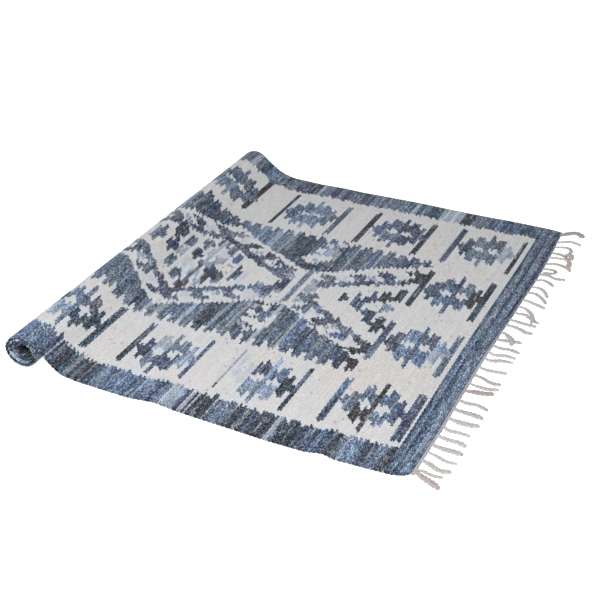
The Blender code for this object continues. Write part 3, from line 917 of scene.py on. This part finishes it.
def build_cloth(settings, rags):
    """The woven cloth: a grid with a cell for every two shots and two warps, laid along its way
    over the floor, up the slope and round the roll."""
    weave = Weave(settings.seed)
    weave.chart()
    colours = weave.colours(rags)
    grid = bmesh.new()
    grid.loops.layers.uv.new("weave")
    bmesh.ops.create_grid(grid, x_segments=SHOTS, y_segments=WARPS, size=1.0)
    mesh = bpy.data.meshes.new("woven_cloth")
    grid.to_mesh(mesh)
    grid.free()

    places = np.empty(len(mesh.vertices) * 3)
    mesh.vertices.foreach_get("co", places)
    places = places.reshape(-1, 3)
    shot = np.rint((1 - places[:, 0]) / 2 * SHOTS).astype(int)
    warp = np.rint((1 + places[:, 1]) / 2 * WARPS).astype(int)
    inside = (shot > 0) & (shot < SHOTS)
    # A shot is wide where it passes over a warp and narrow where it dips under the next
    swell = np.where((shot + warp) % 2 == 0, SHOT_SWELL, -SHOT_SWELL) * inside
    share = warp / WARPS
    along = (shot + swell) * SHOT
    bow = SHOT_BOW * np.sin(np.pi * share)
    along = along + bow * np.clip(along / BOW_FADE, 0, 1) * np.clip((LENGTH - along) / BOW_FADE, 0, 1)
    laid = woven_places(along, share)
    loop = np.where(shot % 2 == 0, SELVEDGE_LOOP, -SELVEDGE_LOOP) * inside
    laid[:, 1] += loop * (warp == WARPS) - loop * (warp == 0)
    laid += np.array(ORIGIN)
    mesh.vertices.foreach_set("co", laid.ravel())

    corner_vertex = np.empty(len(mesh.loops), int)
    mesh.loops.foreach_get("vertex_index", corner_vertex)
    counts = np.stack((warp[corner_vertex], shot[corner_vertex]), axis=1).astype(float)
    mesh.uv_layers["weave"].data.foreach_set("uv", (counts * 2).ravel())
    cells = counts.reshape(-1, 4, 2).min(axis=1).astype(int)
    colour_faces(mesh, "rag_colour", colours[cells[:, 1], cells[:, 0]])
    colour_faces(mesh, "next_rag_colour", weave.further(colours)[cells[:, 1], cells[:, 0]])
    mesh.shade_smooth()
    mesh.update()

    cloth = add_piece("woven_cloth", mesh, rag_weave_material(settings.relief))
    edge = (shot == 0) | (shot == SHOTS) | (warp == 0) | (warp == WARPS)
    full = cloth.vertex_groups.new(name="full_thickness")
    full.add(np.flatnonzero(~edge).tolist(), 1.0, "REPLACE")
    full.add(np.flatnonzero(edge).tolist(), settings.selvedge, "REPLACE")
    wall = cloth.modifiers.new("cloth_thickness", "SOLIDIFY")
    wall.thickness = settings.thickness
    wall.offset = 0.0
    wall.use_even_offset = True
    wall.vertex_group = full.name
    return cloth


def colour_faces(mesh, name, colours):
    """Give each face of a mesh its own colour."""
    counts = np.array([len(polygon.vertices) for polygon in mesh.polygons])
    tint = np.ones((len(mesh.loops), 4))
    tint[:, :3] = np.repeat(np.asarray(colours), counts, axis=0)
    layer = mesh.color_attributes.new(name, "FLOAT_COLOR", "CORNER")
    layer.data.foreach_set("color", tint.ravel())


def sweep(tube, rings, marks):
    """Draw a ring of points along its way, ring by ring, and close both ends. marks are each
    ring's place along the strand, in metres, for the yarn's own map."""
    layer = tube.loops.layers.uv.verify()
    sides = len(rings[0])
    ring = bmesh.ops.create_circle(tube, segments=sides, radius=1.0, cap_ends=False)["verts"]
    for vert, place in zip(ring, rings[0]):
        vert.co = place
    edges = [tube.edges.get((ring[i], ring[(i + 1) % sides])) for i in range(sides)]
    caps = [list(ring)]
    for number in range(1, len(rings)):
        made = bmesh.ops.extrude_edge_only(tube, edges=edges)["geom"]
        fresh = {item for item in made if isinstance(item, bmesh.types.BMVert)}
        after = [next(e.other_vert(v) for e in v.link_edges if e.other_vert(v) in fresh) for v in ring]
        for vert, place in zip(after, rings[number]):
            vert.co = place
        place_of = {vert: i for i, vert in enumerate(ring)}
        place_of.update({vert: i for i, vert in enumerate(after)})
        for i in range(sides):
            face = next(
                f for f in tube.edges.get((ring[i], ring[(i + 1) % sides])).link_faces if after[i] in f.verts
            )
            for loop in face.loops:
                column = place_of[loop.vert]
                if i == sides - 1 and column == 0:
                    column = sides
                loop[layer].uv = (column / sides, marks[number if loop.vert in after else number - 1])
        ring = after
        edges = [tube.edges.get((ring[i], ring[(i + 1) % sides])) for i in range(sides)]
    caps.append(list(ring))
    for cap in caps:
        bmesh.ops.contextual_create(tube, geom=cap)
    bmesh.ops.recalc_face_normals(tube, faces=tube.faces)


def smooth_way(points, step):
    """A smooth way through points, as evenly spaced points."""
    points = np.asarray(points, float)
    padded = np.concatenate((2 * points[:1] - points[1:2], points, 2 * points[-1:] - points[-2:-1]))
    dense = []
    for i in range(1, len(padded) - 2):
        p0, p1, p2, p3 = padded[i - 1 : i + 3]
        for t in np.linspace(0, 1, 12, endpoint=False):
            dense.append(
                0.5 * (2 * p1 + (p2 - p0) * t + (2 * p0 - 5 * p1 + 4 * p2 - p3) * t * t
                       + (3 * p1 - p0 - 3 * p2 + p3) * t**3)
            )
    dense.append(points[-1])
    dense = np.array(dense)
    lengths = np.concatenate(([0.0], np.cumsum(np.linalg.norm(np.diff(dense, axis=0), axis=1))))
    marks = np.linspace(0, lengths[-1], max(3, round(lengths[-1] / step) + 1))
    return np.stack([np.interp(marks, lengths, dense[:, axis]) for axis in range(3)], axis=1), marks


def strand_rings(strand, height, twist, number):
    """The rings of one strand: two plies twisted round one another, flattened by their weight."""
    points = [np.array(point, float) * MM for point in strand.points]
    front = float(end_line(points[0][1])) + PARTING + HEADING_WIDTH
    if points[0][0] < front + ROOT_NEAR and points[0][2] == 0:
        points[0][0] = front - ROOT_INSIDE
    way, marks = smooth_way(points, STRAND_STEP)
    share = marks / marks[-1]
    ahead = np.gradient(way[:, :2], axis=0)
    ahead /= np.linalg.norm(ahead, axis=1)[:, None]
    side = np.stack((-ahead[:, 1], ahead[:, 0]), axis=1)
    size = np.interp(share, STRAND_SHARES, STRAND_SIZES)
    size = size * (1 + STRAND_SWELL * np.sin(marks / STRAND_SWELL_REACH + number * 1.7))
    angles = np.arange(STRAND_SIDES) / STRAND_SIDES * 2 * np.pi
    rings = []
    for i, middle in enumerate(way):
        turn = marks[i] / STRAND_TWIST * 2 * np.pi + twist
        lobe = 1 + STRAND_LOBE * np.cos(2 * (angles - turn))
        half = strand.width * STRAND_FULLER * MM / 2 * size[i]
        tall = min(height / 2, half * STRAND_TALLEST)
        tall *= STRAND_TALL_ENDS + (1 - STRAND_TALL_ENDS) * size[i]
        sideways = half * lobe * np.cos(angles)
        up = tall * lobe * np.sin(angles)
        low = -tall * (1 + STRAND_LOBE)
        z = np.maximum(middle[2] + up - low * STRAND_SETTLED, middle[2] + STRAND_OFF_FLOOR)
        level = middle[:2] + sideways[:, None] * side[i]
        rings.append([(x, y, h) for (x, y), h in zip(level, z)])
    return rings, marks


def yarn_mesh(name, body):
    """Put a finished body of yarn in its place, as a mesh."""
    bmesh.ops.translate(body, verts=body.verts, vec=ORIGIN)
    mesh = bpy.data.meshes.new(name)
    body.to_mesh(mesh)
    body.free()
    mesh.uv_layers[0].name = "ply"
    mesh.shade_smooth()
    return mesh


def build_strands(settings):
    """The fringe's strands, all in one piece, their roots inside the heading."""
    random = np.random.default_rng(STRAND_SEED)
    strands, counts, tints = bmesh.new(), [], []
    for number, strand in enumerate(STRANDS):
        one = bmesh.new()
        rings, marks = strand_rings(strand, settings.strand_height, random.uniform(0, np.pi), number)
        sweep(one, rings, marks)
        carrier = bpy.data.meshes.new("strand")
        one.to_mesh(carrier)
        one.free()
        strands.from_mesh(carrier)
        base = settings.pink_colour if number in PINK_STRANDS else settings.strand_colour
        counts.append(len(carrier.polygons))
        tints.append(np.array(base) * math.exp(random.normal(0, STRAND_TINT)))
        bpy.data.meshes.remove(carrier)
    mesh = yarn_mesh("fringe_strands", strands)
    colour_faces(mesh, "yarn_colour", np.repeat(np.array(tints), counts, axis=0))
    # One ply fibre is drawn about 1 mm wide, coarser than the real one so that it shows
    return add_piece("fringe_strands", mesh, cotton_yarn_material("twisted_cotton_yarn", (6.0, 260.0, 1.0)))


def heading_section(across, height):
    """The heading's side view at a place across the cloth, a little uneven."""
    back = float(end_line(across)) + PARTING
    wave = 1.0
    for tall, reach in HEADING_WAVES:
        wave += tall * math.sin(across / reach)
    places = []
    for out, up in HEADING_SHAPE:
        width = HEADING_WIDTH * (1 + (wave - 1) * (out > 0))
        places.append((back + out * width, across, up * height * wave))
    return places


def build_heading(settings):
    """The cotton heading that locks the rags in at the fringed end."""
    heading = bmesh.new()
    near = float(np.interp(0.0, EDGE_ALONG, EDGE_NEAR))
    far = WIDTH - float(np.interp(0.0, EDGE_ALONG, EDGE_FAR))
    stations = np.linspace(near, far, round((far - near) / HEADING_STEP) + 1)
    rings = [heading_section(across, settings.heading_height) for across in stations]
    sweep(heading, rings, stations)
    mesh = yarn_mesh("cotton_heading", heading)
    # The heading turns darker and bluer across the cloth, by the share given
    tinted = np.interp([face.center.y - ORIGIN.y for face in mesh.polygons], HEADING_BLUE_ACROSS, HEADING_BLUE_SHARE)[:, None]
    plain = np.array(settings.heading_colour) * (1 - tinted)
    colour_faces(mesh, "yarn_colour", plain + np.array(settings.heading_blue_colour) * tinted)
    # Its yarn is drawn as fine lines across it, about 2.4 mm apart
    return add_piece("cotton_heading", mesh, cotton_yarn_material("plain_cotton_heading", (14.0, 420.0, 1.0)))


class RAGRUG_OT_heading(bpy.types.Operator):
    """Build the cotton heading at the fringed end"""

    bl_idname = "rag_rug.heading"
    bl_label = "Cotton Heading"

    def execute(self, context):
        heading = build_heading(context.scene.rag_rug_fringe)
        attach(heading, "root")
        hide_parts("fringe")
        return {"FINISHED"}


class RAGRUG_OT_strands(bpy.types.Operator):
    """Build the twisted cotton strands of the fringe"""

    bl_idname = "rag_rug.strands"
    bl_label = "Fringe Strands"

    def execute(self, context):
        strands = build_strands(context.scene.rag_rug_fringe)
        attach(strands, "root")
        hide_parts("fringe")
        return {"FINISHED"}


class RAGRUG_OT_cloth(bpy.types.Operator):
    """Weave the rug's cloth and lay it, with its rolled end"""

    bl_idname = "rag_rug.cloth"
    bl_label = "Woven Cloth"

    def execute(self, context):
        scene = context.scene
        cloth = build_cloth(scene.rag_rug_cloth, scene.rag_rug_rags)
        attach(cloth, "root")
        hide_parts("rug")
        return {"FINISHED"}


def build_floor(colour, glow):
    """A wide, plain, pale floor, lit a little from below as on a light table."""
    disc = bmesh.new()
    bmesh.ops.create_circle(disc, cap_ends=True, segments=96, radius=FLOOR_RADIUS)
    bmesh.ops.translate(disc, verts=disc.verts, vec=(0.0, 0.0, -FLOOR_DROP))
    mesh = bpy.data.meshes.new("studio_floor")
    disc.to_mesh(mesh)
    disc.free()
    # Seamless painted studio paper: even, matt and nearly white
    material = bpy.data.materials.new("matt_studio_paper")
    material.use_nodes = True
    shader = material.node_tree.nodes["Principled BSDF"]
    shader.inputs["Base Color"].default_value = (*colour, 1.0)
    shader.inputs["Roughness"].default_value = 0.9
    shader.inputs["Emission Color"].default_value = (1.0, 1.0, 1.0, 1.0)
    shader.inputs["Emission Strength"].default_value = glow
    shader.inputs["Specular IOR Level"].default_value = 0.1
    return add_piece("studio_floor", mesh, material)


def add_softbox(name, power, size, place, target):
    """A large soft light aimed at a point."""
    data = bpy.data.lights.new(name, "AREA")
    data.shape = "DISK"
    data.size = size
    data.energy = power
    light = bpy.data.objects.new(name, data)
    light.location = place
    light.rotation_euler = (Vector(target) - Vector(place)).to_track_quat("-Z", "Y").to_euler()
    bpy.context.scene.collection.objects.link(light)


def add_viewpoint():
    """The camera, where the rug is seen from over its fringed near corner."""
    data = bpy.data.cameras.new("viewpoint")
    data.sensor_width = SENSOR
    data.sensor_fit = "HORIZONTAL"
    data.lens = VIEW_LENS
    data.clip_end = 100.0
    viewpoint = bpy.data.objects.new("viewpoint", data)
    level = math.cos(VIEW_DOWN)
    ahead = Vector((math.sin(VIEW_TURN) * level, math.cos(VIEW_TURN) * level, -math.sin(VIEW_DOWN)))
    right = Vector((math.cos(VIEW_TURN), -math.sin(VIEW_TURN), 0.0))
    down = ahead.cross(right)
    right_rolled = right * math.cos(VIEW_ROLL) + down * math.sin(VIEW_ROLL)
    down_rolled = down * math.cos(VIEW_ROLL) - right * math.sin(VIEW_ROLL)
    turned = Matrix((right_rolled, -down_rolled, -ahead)).transposed()
    viewpoint.matrix_world = Matrix.Translation(Vector(VIEW_PLACE) + ORIGIN) @ turned.to_4x4()
    bpy.context.scene.collection.objects.link(viewpoint)
    bpy.context.scene.camera = viewpoint


class RAGRUG_OT_stage(bpy.types.Operator):
    """Build the pale floor, the soft light and the viewpoint"""

    bl_idname = "rag_rug.stage"
    bl_label = "Studio"

    def execute(self, context):
        scene = context.scene
        stage = scene.rag_rug_stage
        build_floor(tuple(stage.floor), stage.glow)
        add_softbox("overhead_softbox", stage.softbox, SOFTBOX_SIZE, SOFTBOX_PLACE, SOFTBOX_TARGET)
        world = bpy.data.worlds.new("studio_daylight")
        world.use_nodes = True
        world.node_tree.nodes["Background"].inputs["Color"].default_value = (1.0, 1.0, 1.0, 1.0)
        world.node_tree.nodes["Background"].inputs["Strength"].default_value = stage.daylight
        scene.world = world
        scene.view_settings.view_transform = "Standard"
        add_viewpoint()
        return {"FINISHED"}


class RAGRUG_PT_sidebar(bpy.types.Panel):
    """The rug's steps and settings"""

    bl_idname = "RAGRUG_PT_sidebar"
    bl_label = "Rag Rug"
    bl_space_type = "VIEW_3D"
    bl_region_type = "UI"
    bl_category = "Rag Rug"

    def draw(self, context):
        for group, step in (
            ("rag_rug_stage", "rag_rug.stage"),
            ("rag_rug_fringe", "rag_rug.heading"),
            (None, "rag_rug.strands"),
            ("rag_rug_cloth", "rag_rug.cloth"),
            ("rag_rug_rags", None),
        ):
            box = self.layout.box()
            if group:
                settings = getattr(context.scene, group)
                for name in settings.bl_rna.properties.keys():
                    if name not in ("rna_type", "name"):
                        box.prop(settings, name)
            if step:
                box.operator(step)


SETTINGS = {
    "rag_rug_cloth": RagRugCloth,
    "rag_rug_rags": RagRugRags,
    "rag_rug_fringe": RagRugFringe,
    "rag_rug_stage": RagRugStage,
}
STEPS = (RAGRUG_OT_stage, RAGRUG_OT_heading, RAGRUG_OT_strands, RAGRUG_OT_cloth, RAGRUG_PT_sidebar)


def register():
    """Make the settings, steps and panel known to Blender."""
    for name, group in SETTINGS.items():
        bpy.utils.register_class(group)
        setattr(bpy.types.Scene, name, bpy.props.PointerProperty(type=group))
    for step in STEPS:
        bpy.utils.register_class(step)


def unregister():
    """Take the settings, steps and panel away again."""
    for step in reversed(STEPS):
        bpy.utils.unregister_class(step)
    for name, group in reversed(SETTINGS.items()):
        delattr(bpy.types.Scene, name)
        bpy.utils.unregister_class(group)


def main():
    """Register the steps, then build the studio, the heading, the strands and the cloth."""
    register()
    bpy.ops.rag_rug.stage()
    bpy.ops.rag_rug.heading()
    bpy.ops.rag_rug.strands()
    bpy.ops.rag_rug.cloth()


if __name__ == "__main__":
    main()
